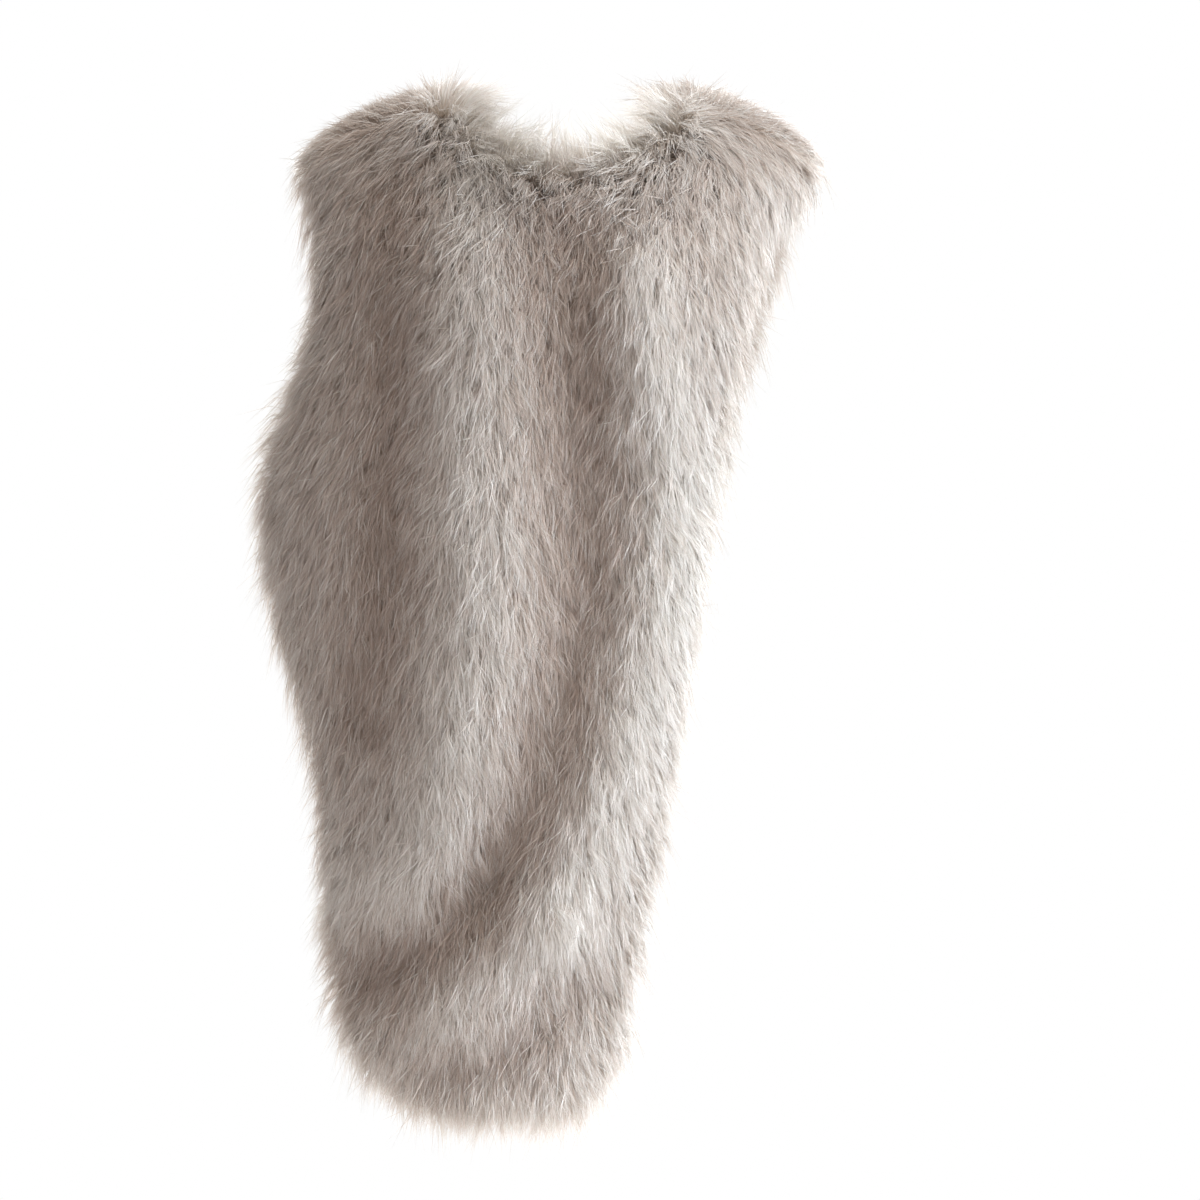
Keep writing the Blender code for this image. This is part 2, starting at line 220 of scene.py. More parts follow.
def running_total(steps):
    """How far along each point is, from the lengths of the steps between points."""
    return np.concatenate(([0], np.cumsum(steps)))


def crowded_at_ends(count):
    """Places from -1 to 1 that lie closer together towards both ends."""
    return np.sin(np.linspace(-math.pi / 2, math.pi / 2, count + 1))


def settled(grid, passes):
    """A grid of vectors, each averaged with its neighbours along both ways of the grid."""
    for _ in range(passes):
        for axis in (0, 1):
            edge = [(0, 0)] * grid.ndim
            edge[axis] = (1, 1)
            wide = np.moveaxis(np.pad(grid, edge, mode="edge"), axis, 0)
            grid = np.moveaxis((wide[:-2] + 2 * wide[1:-1] + wide[2:]) / 4, 0, axis)
    return grid


def normals_of(cloth):
    """Unit normals of a grid of points, on the outside of the vest."""
    down = np.gradient(cloth, axis=0)
    across = np.gradient(cloth, axis=1)
    normals = unit(settled(unit(np.cross(across, down)), NORMAL_PASSES))
    middle = normals[len(normals) // 2].mean(axis=0)
    centre = cloth[len(cloth) // 2].mean(axis=0)
    return normals if middle[1] * centre[1] > 0 else -normals


# %% [markdown]
# ## The shoulder seam
# Both pieces that meet at a seam have to agree on it, so its points and its normals come from one
# function of x. It lies in a plane square to the way the cloth flows over the shoulder.

# %% One seam for two pieces
def shoulder_seam(x):
    """Points of a shoulder seam at x."""
    tip = np.where(x > 0, LEFT_TIP_X, RIGHT_TIP_X)
    s = (np.abs(x) - NECK_X) / (tip - NECK_X)
    z = NECK_POINT_Z - TIP_DROP * s + SHOULDER_ROUND * 4 * s * (1 - s)
    y = NECK_POINT_Y + (z - NECK_POINT_Z) * math.tan(FLOW_ANGLE)
    return np.stack((x, y, z), axis=-1)


def seam_normals(x):
    """The cloth's normals along a shoulder seam."""
    step = 1e-4
    along = shoulder_seam(x + step) - shoulder_seam(x - step)
    normals = unit(np.cross(along, FLOW))
    return normals * np.sign(normals[..., 2:])


# %% [markdown]
# ## The back
# The top edge is a seam, the neckline and a seam. From there each column of points runs down to the
# hem, and the table draws it in or lets it out on the way.

# %% Lay out the back
SEAM_COLUMNS = 14
NECK_COLUMNS = 20
PANEL_ROWS = 96


def back_top():
    """The back's top edge: right shoulder seam, neckline, left shoulder seam."""
    seam = np.sin(np.linspace(0, math.pi / 2, SEAM_COLUMNS + 1))
    right = -NECK_X - (RIGHT_TIP_X - NECK_X) * seam[::-1]
    left = NECK_X + (LEFT_TIP_X - NECK_X) * seam
    turn = np.linspace(-math.pi / 2, math.pi / 2, NECK_COLUMNS + 1)[1:-1]
    across = np.cos(turn) ** NAPE_ROUND
    neckline = np.stack(
        (
            NECK_X * np.sin(turn),
            NECK_POINT_Y + (NAPE_Y - NECK_POINT_Y) * across,
            NECK_POINT_Z + (NAPE_Z - NECK_POINT_Z) * across,
        ),
        axis=-1,
    )
    top = np.concatenate((shoulder_seam(right), neckline, shoulder_seam(left)))
    on_seam = np.abs(top[:, 0]) >= NECK_X - 1e-9
    return top, on_seam


def back_panel():
    """The back's cloth as a grid of points, its normals, and which of its edge is seam."""
    top, on_seam = back_top()
    u = crowded_at_ends(len(top) - 1)
    reach = np.where(u > HEM_LOW_U, 1 - HEM_LOW_U, 1 + HEM_LOW_U)
    rise = np.where(u > HEM_LOW_U, LEFT_CORNER_RISE, RIGHT_CORNER_RISE)
    corner = np.clip(np.abs(u - HEM_LOW_U) / reach, 0, 1)
    hem_z = HEM_Z + rise * (1 - np.sqrt(1 - corner**HEM_SQUARENESS))

    v = np.linspace(0, 1, PANEL_ROWS + 1)[:, None]
    z = top[:, 2] + (hem_z - top[:, 2]) * v
    heights = -np.array([row[0] for row in BACK_GIRTHS])
    girth = {
        name: through(heights, [row[k] for row in BACK_GIRTHS], -z)
        for k, name in enumerate(BACK_FIELDS)
    }
    x = girth["right_x"] + (girth["left_x"] - girth["right_x"]) * (u + 1) / 2
    edge_y = np.where(u > 0, girth["left_y"], girth["right_y"])
    body_y = girth["mid_y"] + (edge_y - girth["mid_y"]) * np.abs(u) ** BODY_ROUND
    settle = np.clip((top[:, 2] - z) / SETTLE_DEPTH, 0, 1)
    narrow = np.clip((top[:, 2] - z) / WAIST_DEPTH, 0, 1)
    x = top[:, 0] + (x - top[:, 0]) * narrow * (2 - narrow)
    y = top[:, 1] + (body_y - top[:, 1]) * (1 - (1 - settle) ** 2)
    y += fold_height(x, z, BACK_FOLDS) * settle

    cloth = np.stack((x, y, z), axis=-1)
    cloth[0] = top
    normals = normals_of(cloth)
    normals[0, on_seam] = seam_normals(top[on_seam, 0])
    cloth[0, on_seam] += FLOW * SEAM_GAP / 2
    return cloth, normals, on_seam


# %% [markdown]
# ## The fronts
# A front starts at the same seam, crosses the top of the shoulder and hangs down. It is a stack of
# sections from its inner edge to its outer one, and its end is rounded off by stopping the columns
# near its sides a little early.

# %% Lay out a front
FRONT_COLUMNS = 24


def front_panel(side, tip_x):
    """One front's cloth as a grid of points from its seam to its hem, and its normals."""
    a = (crowded_at_ends(FRONT_COLUMNS) + 1) / 2
    seam_x = side * (NECK_X + (tip_x - NECK_X) * a)
    seam = shoulder_seam(seam_x)

    def section(row):
        get = dict(zip(FRONT_FIELDS, row))
        bow = 4 * a * (1 - a)
        x = get["in_x"] + (get["out_x"] * tip_x / LEFT_TIP_X - get["in_x"]) * a
        y = get["in_y"] + (get["out_y"] - get["in_y"]) * a + get["bow_y"] * bow
        z = get["in_z"] + (get["out_z"] - get["in_z"]) * a + get["bow_z"] * bow
        return np.stack((side * x, y, z), axis=-1)

    sections = np.stack([seam] + [section(row) for row in FRONT_SECTIONS])
    steps = np.linalg.norm(np.diff(sections.mean(axis=1), axis=0), axis=1)
    places = running_total(steps)

    outer = np.clip(1 - (1 - a) / FRONT_OUT_SHARE, 0, 1)
    inner = np.clip(1 - a / FRONT_IN_SHARE, 0, 1)
    rise = FRONT_OUT_RISE * (1 - np.sqrt(1 - outer**FRONT_OUT_SQUARENESS))
    rise += FRONT_IN_RISE * (1 - np.sqrt(1 - inner**2))
    v = np.linspace(0, 1, PANEL_ROWS + 1)
    cloth = np.empty((PANEL_ROWS + 1, FRONT_COLUMNS + 1, 3))
    for j in range(FRONT_COLUMNS + 1):
        cloth[:, j] = through(places, sections[:, j], v * (places[-1] - rise[j]))
    start, full = FRONT_SETTLE
    settle = np.clip((-cloth[..., 2] - start) / (full - start), 0, 1)
    cloth[..., 1] -= fold_height(side * cloth[..., 0], cloth[..., 2], FRONT_FOLDS) * settle
    cloth[..., 0] += math.tan(LEAN) * np.maximum(-cloth[..., 2] - LEAN_FROM, 0)
    normals = normals_of(cloth)
    normals[0] = seam_normals(seam_x)
    cloth[0] -= FLOW * SEAM_GAP / 2
    return cloth, normals, np.ones(FRONT_COLUMNS + 1, bool)


panels = {
    "back_panel": back_panel(),
    "left_front": front_panel(1, LEFT_TIP_X),
    "right_front": front_panel(-1, RIGHT_TIP_X),
}
for name, (cloth, _, _) in panels.items():
    print(name, "grid of", cloth.shape[:2])

# %% [markdown]
# ## Shader maths
# Writing shader maths as Python expressions keeps a material readable. A small class holds a
# socket, and adding or multiplying two of them adds the Math node for it. Every other node comes
# from one method of the material's own class.


# %% Two small classes for materials
class Wire:
    """A shader socket that takes part in sums."""

    def __init__(self, finish, socket):
        self.finish = finish
        self.socket = socket

    def math(self, operation, *others):
        places = enumerate((self, *others))
        return self.finish.node("ShaderNodeMath", {"operation": operation}, dict(places))

    def __add__(self, other):
        return self.math("ADD", other)

    def __mul__(self, other):
        return self.math("MULTIPLY", other)

    __radd__ = __add__
    __rmul__ = __mul__


class Finish:
    """A material with a Principled shader, and the nodes that feed it."""

    def __init__(self, name, **constants):
        self.material = bpy.data.materials.new(name)
        self.material.use_nodes = True
        self.tree = self.material.node_tree
        self.shader = self.tree.nodes["Principled BSDF"]
        for socket, value in constants.items():
            self.shader.inputs[socket.replace("_", " ")].default_value = value

    def node(self, kind, settings, sockets, output=0):
        """Adds a node, sets its settings and then its sockets, and returns one output."""
        node = self.tree.nodes.new(kind)
        for setting, value in settings.items():
            if setting == "stops":
                self.stops(node.color_ramp.elements, value)
            else:
                setattr(node, setting, value)
        for socket, value in sockets.items():
            self.feed(node.inputs[socket], value)
        return Wire(self, node.outputs[output])

    def stops(self, elements, stops):
        while len(elements) < len(stops):
            elements.new(0.5)
        for element, (place, colour) in zip(elements, stops):
            element.position = place
            element.color = (*colour, 1)

    def feed(self, socket, value):
        if isinstance(value, Wire):
            self.tree.links.new(value.socket, socket)
        else:
            socket.default_value = value

    def blend(self, factor, first, second):
        """One colour turning to another as factor goes from 0 to 1."""
        sockets = {0: factor, 6: first, 7: second}
        return self.node("ShaderNodeMix", {"data_type": "RGBA"}, sockets, output=2)


# %% [markdown]
# ## The finish of the pile
# Each fibre is painted darker and warmer at its root, a painted shade for where its neighbours
# shade it, and lighter at its tip. Fibres also differ from one to the next, and their lightness
# also carries painted shade in the hollows of folds, painted light on ridges, at edges and by the
# neck, and painted glints on some fibres. The pile's own UV map says both things: along it runs
# from the root to the tip, and across it runs from dark fibres to light ones. All the fibres share
# that small map, so it stays sharp whatever their number. Acrylic fibre lets some light through,
# which is why the fringe glows, so part of the shader is translucent.

# %% Make the finish of the pile
PILE_MAP = "OFBake"
# Both ramps are painted darker at the root as painted shade. The dark one also gives painted shade in
# fold hollows, and the light one gives painted glints and painted light.
DARK_FIBRE_AND_SHADE = ((0.0, (0.58, 0.46, 0.38)), (0.45, (0.61, 0.49, 0.42)), (1.0, (0.72, 0.63, 0.57)))
LIGHT_FIBRE_AND_GLINT = ((0.0, (0.90, 0.85, 0.77)), (0.45, (0.95, 0.93, 0.89)), (1.0, (0.99, 0.99, 0.98)))
LIGHT_THROUGH = 0.32

pile_finish = Finish("faux_fur_pile", Roughness=0.34, Specular_IOR_Level=0.85)
place = pile_finish.node("ShaderNodeUVMap", {"uv_map": PILE_MAP}, {})
lightness = pile_finish.node("ShaderNodeSeparateXYZ", {}, {0: place}, output=0)
along = pile_finish.node("ShaderNodeSeparateXYZ", {}, {0: place}, output=1)
dark = pile_finish.node("ShaderNodeValToRGB", {"stops": DARK_FIBRE_AND_SHADE}, {0: along})
light = pile_finish.node("ShaderNodeValToRGB", {"stops": LIGHT_FIBRE_AND_GLINT}, {0: along})
fibre_colour = pile_finish.blend(lightness, dark, light)
pile_finish.feed(pile_finish.shader.inputs["Base Color"], fibre_colour)
through_light = pile_finish.node("ShaderNodeBsdfTranslucent", {}, {"Color": fibre_colour})
own_light = Wire(pile_finish, pile_finish.shader.outputs[0])
mixed = pile_finish.node(
    "ShaderNodeMixShader", {}, {0: LIGHT_THROUGH, 1: own_light, 2: through_light}
)
surface = pile_finish.tree.nodes["Material Output"].inputs["Surface"]
pile_finish.feed(surface, mixed)
print("pile finish:", len(pile_finish.tree.nodes), "nodes")

# %% [markdown]
# ## The finish of the backing
# Seen from inside, fur fabric is a fine cream knit. Its loops stand in columns, each a small V, and
# they are only about a millimetre wide, so they are drawn in the bump and the colour and not in
# the mesh. The map on the cloth is in metres, so the loops keep their size on every panel.

# %% Make the finish of the backing
CLOTH_MAP = "cloth"
LOOP_WIDTH = 0.0014
LOOP_HEIGHT = 0.0010
LOOP_SLANT = 1.6
LOOP_FLOOR = 0.3
LOOP_TONE = 0.55
LOOP_RELIEF = 0.0004
WEAR_SCALE = 60.0
WEAR_TONE = 0.5
BACKING_LIGHT = (0.82, 0.76, 0.67, 1)
BACKING_DARK = (0.56, 0.49, 0.41, 1)

backing_finish = Finish("knitted_backing", Roughness=0.85, Specular_IOR_Level=0.25)
place = backing_finish.node("ShaderNodeUVMap", {"uv_map": CLOTH_MAP}, {})
across = backing_finish.node("ShaderNodeSeparateXYZ", {}, {0: place}, output=0)
down = backing_finish.node("ShaderNodeSeparateXYZ", {}, {0: place}, output=1)
column_wave = (across * (2 * math.pi / LOOP_WIDTH)).math("SINE")
slant = column_wave.math("ABSOLUTE") * LOOP_SLANT
loop_wave = (down * (2 * math.pi / LOOP_HEIGHT) + slant).math("SINE")
column = column_wave.math("ABSOLUTE") * (1 - LOOP_FLOOR) + LOOP_FLOOR
loops = (loop_wave * 0.5 + 0.5) * column
wear = backing_finish.node("ShaderNodeTexNoise", {}, {"Vector": place, "Scale": WEAR_SCALE})
tone = loops * LOOP_TONE + wear * WEAR_TONE
backing_colour = backing_finish.blend(tone, BACKING_DARK, BACKING_LIGHT)
backing_finish.feed(backing_finish.shader.inputs["Base Color"], backing_colour)
relief = backing_finish.node(
    "ShaderNodeBump", {}, {"Strength": 0.5, "Distance": LOOP_RELIEF, "Height": loops}
)
backing_finish.feed(backing_finish.shader.inputs["Normal"], relief)
print("backing finish:", len(backing_finish.tree.nodes), "nodes")

# %% [markdown]
# ## The backing cloth
# Each panel's cloth is a grid of faces over its points. Solidify gives it the thickness of a real
# backing, outwards from the inner face, so that it lies just inside the solid it stands for.

# %% Make the three backings
BACKING_THICKNESS = 0.0015


def grid_mesh(name, cloth, map_name):
    """A mesh over a grid of points, with a map that measures the cloth in metres."""
    rows, columns = cloth.shape[:2]
    i, j = np.mgrid[0 : rows - 1, 0 : columns - 1]
    first = (i * columns + j).ravel()
    faces = np.stack((first, first + columns, first + columns + 1, first + 1), axis=1)
    mesh = bpy.data.meshes.new(name)
    mesh.from_pydata(cloth.reshape(-1, 3).tolist(), [], faces.tolist())
    wide = np.linalg.norm(np.diff(cloth, axis=1), axis=2).mean(axis=0)
    tall = np.linalg.norm(np.diff(cloth, axis=0), axis=2).mean(axis=1)
    u, v = running_total(wide), running_total(tall)
    corners = np.empty(len(mesh.loops), int)
    mesh.loops.foreach_get("vertex_index", corners)
    uv = np.stack((u[corners % columns], v[corners // columns]), axis=1)
    layer = mesh.uv_layers.new(name=map_name)
    layer.data.foreach_set("uv", uv.astype(np.float32).ravel())
    return mesh


def backing_of(name, cloth, normals):
    """One panel's backing as a thin wall, with its inner face on the solid's inner face."""
    mesh = grid_mesh(name, cloth, CLOTH_MAP)
    piece = add_object(name, mesh)
    mesh.materials.append(backing_finish.material)
    facing = np.array([face.normal for face in mesh.polygons])
    wanted = normals[:-1, :-1].reshape(-1, 3)
    if np.einsum("ij,ij->i", facing, wanted).mean() < 0:
        mesh.flip_normals()
    mesh.shade_smooth()
    bpy.context.view_layer.objects.active = piece
    wall = piece.modifiers.new("wall", "SOLIDIFY")
    wall.thickness = BACKING_THICKNESS
    wall.offset = 1.0
    bpy.ops.object.modifier_apply(modifier=wall.name)
    return piece


backings = {}
for name, (cloth, normals, _) in panels.items():
    backings[name] = backing_of(name + "_backing", cloth, normals)
    print(name, "backing of", len(backings[name].data.polygons), "faces")

# %% [markdown]
# ## Round a panel's edge
# A panel's edge is sewn at the shoulder and free everywhere else, and the two are finished in
# different ways. Walking once round the grid gives the edge as a ring of points, and the ring is
# then cut into its sewn stretches and its free ones.

# %% Find the seams and the free edges
def rim_of(cloth, normals, on_seam):
    """A panel's edge once round: points, the way out of the cloth, normals, and what is seam."""
    rows, columns = cloth.shape[:2]
    rim = [(0, j) for j in range(columns)]
    rim += [(i, columns - 1) for i in range(1, rows)]
    rim += [(rows - 1, j) for j in range(columns - 2, -1, -1)]
    rim += [(i, 0) for i in range(rows - 2, 0, -1)]
    i, j = np.array(rim).T
    points = cloth[i, j]
    along = unit(np.roll(points, -1, axis=0) - np.roll(points, 1, axis=0))
    out = unit(np.cross(along, normals[i, j]))
    if np.einsum("ij,ij->i", out, points - cloth.reshape(-1, 3).mean(axis=0)).mean() < 0:
        out = -out
    return points, out, normals[i, j], (i == 0) & on_seam[j]


def edge_runs(cloth, normals, on_seam, want_seam):
    """Each stretch of a panel's edge that is seam, or that is free, as points, out, normals."""
    points, out, ups, seam = rim_of(cloth, normals, on_seam)
    wanted = seam == want_seam
    start = int(np.flatnonzero(~wanted)[0])
    order = (np.arange(len(points)) + start) % len(points)
    runs, run = [], []
    for k in (*order, order[0]):
        if wanted[k]:
            run.append(k)
        elif run:
            run = run if want_seam else [run[0] - 1, *run, (run[-1] + 1) % len(points)]
            runs.append((points[run], out[run], ups[run]))
            run = []
    return runs


# %% [markdown]
# ## Turned edges and pressed seams
# An unlined vest is finished by turning its free edges in and catching them down with small
# slanting stitches. At the shoulders the two allowances are pressed open on the inside. Both are
# strips that follow an edge of the panel, so one helper lays rows of points beside an edge, each
# row a little further in, and drops them on to the cloth.

# %% Lay strips beside an edge
HEM_WIDTH = 0.014
HEM_LIFT = 0.0012
SEAM_ALLOWANCE = 0.011
FOLD_ROWS = ((-0.0004, 0.0015), (-0.0018, 0.0008), (-0.0012, -0.0008))
HEM_ROWS = (
    (0.002, -0.0013),
    (0.006, -0.0012),
    (0.010, -0.0012),
    (HEM_WIDTH, -0.0011),
    (HEM_WIDTH + 0.0003, -0.0001),
)
ALLOWANCE_ROWS = (
    (0.0006, -0.0002),
    (0.0016, -0.0013),
    (0.006, -0.0012),
    (SEAM_ALLOWANCE, -0.0011),
    (SEAM_ALLOWANCE + 0.0003, -0.0001),
)
POINTS_AT_ONCE = 400


def laid_on(cloth, normals, points):
    """Points moved on to the cloth, with the cloth's normals there."""
    flat, up = cloth.reshape(-1, 3), normals.reshape(-1, 3)
    nearest = np.empty(len(points), int)
    for first in range(0, len(points), POINTS_AT_ONCE):
        part = slice(first, first + POINTS_AT_ONCE)
        away = np.linalg.norm(flat[None] - points[part, None], axis=2)
        nearest[part] = away.argmin(axis=1)
    up = up[nearest]
    return points - up * np.einsum("ij,ij->i", points - flat[nearest], up)[:, None], up


def strip_beside(run, cloth, normals, rows):
    """Rows of points beside an edge, each so far in from it and so far off the cloth."""
    points, out, ups = run
    grid = []
    for inward, lift in rows:
        row, up = points - out * inward, ups
        if inward > 0:
            row, up = laid_on(cloth, normals, row)
        grid.append(row + up * lift)
    return np.stack(grid)


def joined(pieces, name):
    """Joins pieces into one."""
    bpy.ops.object.select_all(action="DESELECT")
    for piece in pieces:
        piece.select_set(True)
    bpy.context.view_layer.objects.active = pieces[0]
    bpy.ops.object.join()
    pieces[0].name = name
    return pieces[0]


def strip_piece(name, grid):
    """A strip of backing as a mesh."""
    mesh = grid_mesh(name, grid, CLOTH_MAP)
    mesh.materials.append(backing_finish.material)
    mesh.shade_smooth()
    return add_object(name, mesh)


hems = {}
for name, (cloth, normals, on_seam) in panels.items():
    strips = []
    for run in edge_runs(cloth, normals, on_seam, want_seam=False):
        rows = FOLD_ROWS + HEM_ROWS
        strips.append(strip_piece(name + "_hem", strip_beside(run, cloth, normals, rows)))
    for points, _, ups in edge_runs(cloth, normals, on_seam, want_seam=True):
        away = -FLOW if name == "back_panel" else FLOW
        run = (points, np.broadcast_to(away, points.shape), ups)
        rows = ALLOWANCE_ROWS
        strips.append(strip_piece(name + "_seam", strip_beside(run, cloth, normals, rows)))
    hems[name] = joined(strips, name + "_turned_edges")
    print(name, "has", len(strips), "strips of turned edge and seam allowance")

# %% [markdown]
# ## Hem stitches
# One stitch is half a small ring that dips into the cloth at both ends. It is modelled once as a
# torus with few sides, and its points are then set down along the inner edge of every hem.

# %% Set the stitches
STITCH_SPACING = 0.009
STITCH_SLANT = math.radians(28)
STITCH_RADIUS = 0.0022
STITCH_SINK = 0.0006
THREAD_RADIUS = 0.00032

bpy.ops.object.select_all(action="DESELECT")
bpy.ops.mesh.primitive_torus_add(
    major_radius=STITCH_RADIUS, minor_radius=THREAD_RADIUS, major_segments=6, minor_segments=4
)
stitch = bpy.context.object
stitch_points = np.array([vertex.co for vertex in stitch.data.vertices])
stitch_faces = np.array([tuple(face.vertices) for face in stitch.data.polygons])
bpy.data.objects.remove(stitch)
thread = Finish("cream_thread", Base_Color=(0.72, 0.66, 0.56, 1), Roughness=0.6)


def turned(vectors, axes, angles):
    """Vectors square to their axes, turned about them."""
    angles = angles[:, None]
    return vectors * np.cos(angles) + np.cross(axes, vectors) * np.sin(angles)


def lengths_along(points):
    """How far along a run of points each of them is."""
    return running_total(np.linalg.norm(np.diff(points, axis=0), axis=1))


def between(places, at, *sets):
    """Each set of vectors along a run, read at the given places."""
    return [np.stack([np.interp(places, at, v[:, k]) for k in range(3)], axis=1) for v in sets]


def stitches_along(run, cloth, normals):
    """Places for stitches along a run, each with the directions of its own three axes."""
    points, out, _ = run
    row, up = laid_on(cloth, normals, points - out * HEM_WIDTH)
    at = lengths_along(row)
    count = int(at[-1] / STITCH_SPACING)
    places = (np.arange(count) + 0.5) * at[-1] / count
    place, up, side = between(places, at, row, up, out)
    up = unit(up)
    side = unit(side - up * np.einsum("ij,ij->i", side, up)[:, None])
    side = turned(side, up, np.full(count, STITCH_SLANT))
    return place - up * STITCH_SINK, side, up, np.cross(side, up)


threads = {}
for name, (cloth, normals, on_seam) in panels.items():
    spots = [
        stitches_along(run, cloth, normals)
        for run in edge_runs(cloth, normals, on_seam, want_seam=False)
    ]
    place, along, up, across = (np.concatenate(values) for values in zip(*spots))
    axes = np.stack((along, up, across), axis=1)
    points = place[:, None] + np.einsum("pa,nac->npc", stitch_points, axes)
    offsets = np.arange(len(place))[:, None, None] * len(stitch_points)
    faces = (stitch_faces[None] + offsets).reshape(-1, 4)
    mesh = bpy.data.meshes.new(name + "_stitches")
    mesh.from_pydata(points.reshape(-1, 3).tolist(), [], faces.tolist())
    mesh.shade_smooth()
    mesh.materials.append(thread.material)
    threads[name] = add_object(name + "_stitches", mesh)
    print(name, "is hemmed with", len(place), "stitches")

# %% [markdown]
# ## Which way the pile lies
# Combed fur has a direction everywhere. On this vest it runs down each panel, splays out over the
# free edges and swirls outwards from the two points where the shoulder seams meet the neck. Each
# of those is a vector at every grid point, and their weighted sum is the direction there. Along
# the neckline the pile would have to turn back on itself to splay, so there the locks part: some
# run down and some stand out over the edge, mixed by chance, which leaves no bare line.

# %% Directions over a panel
GRAVITY = 0.8
SPLAY = 1.7
SPLAY_REACH = 0.020
EDGE_BLUR = 0.008
EDGE_ROLL = 1.5
EDGE_ROLL_REACH = 0.013
SWIRL = 1.6
SWIRL_REACH = 0.085
SWIRL_POINTS = ((0.092, 0.040, -0.006), (-0.086, 0.050, -0.022))
SWIRL_RISE = 0.6
SWIRL_RISE_REACH = 0.022
PARTING = 0.013
PARTING_BLUR = 0.006
PARTING_RISE = 0.4


def lie_of(cloth, normals, on_seam):
    """Per grid point: the nap, the way up, the way out, the edge's distance, the rise, the turn."""
    rim, rim_out, _, seam = rim_of(cloth, normals, on_seam)
    rim, rim_out = rim[~seam], rim_out[~seam]
    flat = cloth.reshape(-1, 3)
    away = np.linalg.norm(flat[:, None] - rim[None], axis=2)
    nearest = away.min(axis=1)
    weight = np.exp(-(away - nearest[:, None]) / EDGE_BLUR)
    out = unit(np.einsum("ij,jk->ik", weight, rim_out)).reshape(cloth.shape)
    edge = nearest.reshape(cloth.shape[:2])[..., None]

    nap = unit(np.gradient(cloth, axis=0)) + GRAVITY * np.array((0, 0, -1))
    rise = np.zeros_like(edge)
    for point in SWIRL_POINTS:
        from_point = cloth - np.array(point)
        far = np.linalg.norm(from_point, axis=2, keepdims=True)
        nap = nap + SWIRL * unit(from_point) * np.exp(-((far / SWIRL_REACH) ** 2))
        rise = np.maximum(rise, SWIRL_RISE * np.exp(-((far / SWIRL_RISE_REACH) ** 2)))
    outward = np.einsum("ijk,ijk->ij", out, unit(nap))[..., None]
    against = np.clip(-2 * outward, 0, 1)
    nap = nap + SPLAY * out * np.exp(-edge / SPLAY_REACH) * (1 - against)
    turn = against / (1 + np.exp((edge - PARTING) / PARTING_BLUR))
    rise = np.maximum(rise, PARTING_RISE * against * np.exp(-edge / (2 * PARTING)))
    stand = unit(normals + EDGE_ROLL * out * np.exp(-edge / EDGE_ROLL_REACH))
    nap = nap - stand * np.einsum("ijk,ijk->ij", nap, stand)[..., None]
    return unit(nap), stand, out, edge[..., 0], rise[..., 0], turn[..., 0]


# %% [markdown]
# ## Where fibres start
# The pile is thousands of thin ribbons, and every one needs a root, a direction and a shade. Roots
# are scattered evenly over the cloth, and what the panel's grid says is read between its points.
# Combed fur is never quite straight, so a few long waves make the nap wander. Pile on a ridge or
# at an edge catches light and pile in a hollow is shaded, and part of that is painted into the
# colour: painted light on ridges, at edges and where the pile rises or parts by the neck, and
# painted shade in the hollows of folds.
# Geometry Nodes could scatter the roots too, but arrays keep these rules in plain sight.

# %% Scatter the roots
DRIFT_WAVES = 7
DRIFT_PEAK = 3.2
DRIFT_TURN = math.radians(9)
FOLD_SCALE = 0.010
MID_LIGHT = 0.34
# painted shade in fold hollows, and painted light on ridges, edges, swirls and the parting
FOLD_LIGHT = 0.29
EDGE_LIGHT = 0.32
EDGE_LIGHT_REACH = 0.024
RISE_LIGHT = 0.35
TURN_LIGHT = 0.30

rng = np.random.default_rng(11)
drift_ways = unit(rng.normal(size=(DRIFT_WAVES, 3))) * rng.uniform(45, 170, size=(DRIFT_WAVES, 1))
drift_starts = rng.uniform(0, 2 * math.pi, size=DRIFT_WAVES)


def drift(points):
    """A smooth wandering of the nap from place to place, about one at its largest."""
    waves = np.sin(points @ drift_ways.T + drift_starts)
    return waves.sum(axis=1) / DRIFT_PEAK


def face_areas(cloth):
    """The area of each face of a grid of points."""
    across = np.diff(cloth, axis=1)
    down = np.diff(cloth, axis=0)
    return np.linalg.norm(np.cross(across[:-1], down[:, :-1]), axis=2)


def scattered(cloth, count):
    """Fractional rows and columns of points spread evenly over a panel's area."""
    area = face_areas(cloth)
    wanted = area / area.sum() * count
    number = np.floor(wanted + rng.random(wanted.shape)).astype(int)
    i, j = np.nonzero(number)
    i, j = (np.repeat(k, number[i, j]) for k in (i, j))
    return i + rng.random(len(i)), j + rng.random(len(j))


def read(grid, i, j):
    """A grid's values between its points."""
    if grid.ndim == 2:
        grid = grid[..., None]
    i0 = np.minimum(i.astype(int), grid.shape[0] - 2)
    j0 = np.minimum(j.astype(int), grid.shape[1] - 2)
    s = (i - i0)[:, None]
    t = (j - j0)[:, None]
    top = grid[i0, j0] * (1 - t) + grid[i0, j0 + 1] * t
    bottom = grid[i0 + 1, j0] * (1 - t) + grid[i0 + 1, j0 + 1] * t
    return top * (1 - s) + bottom * s


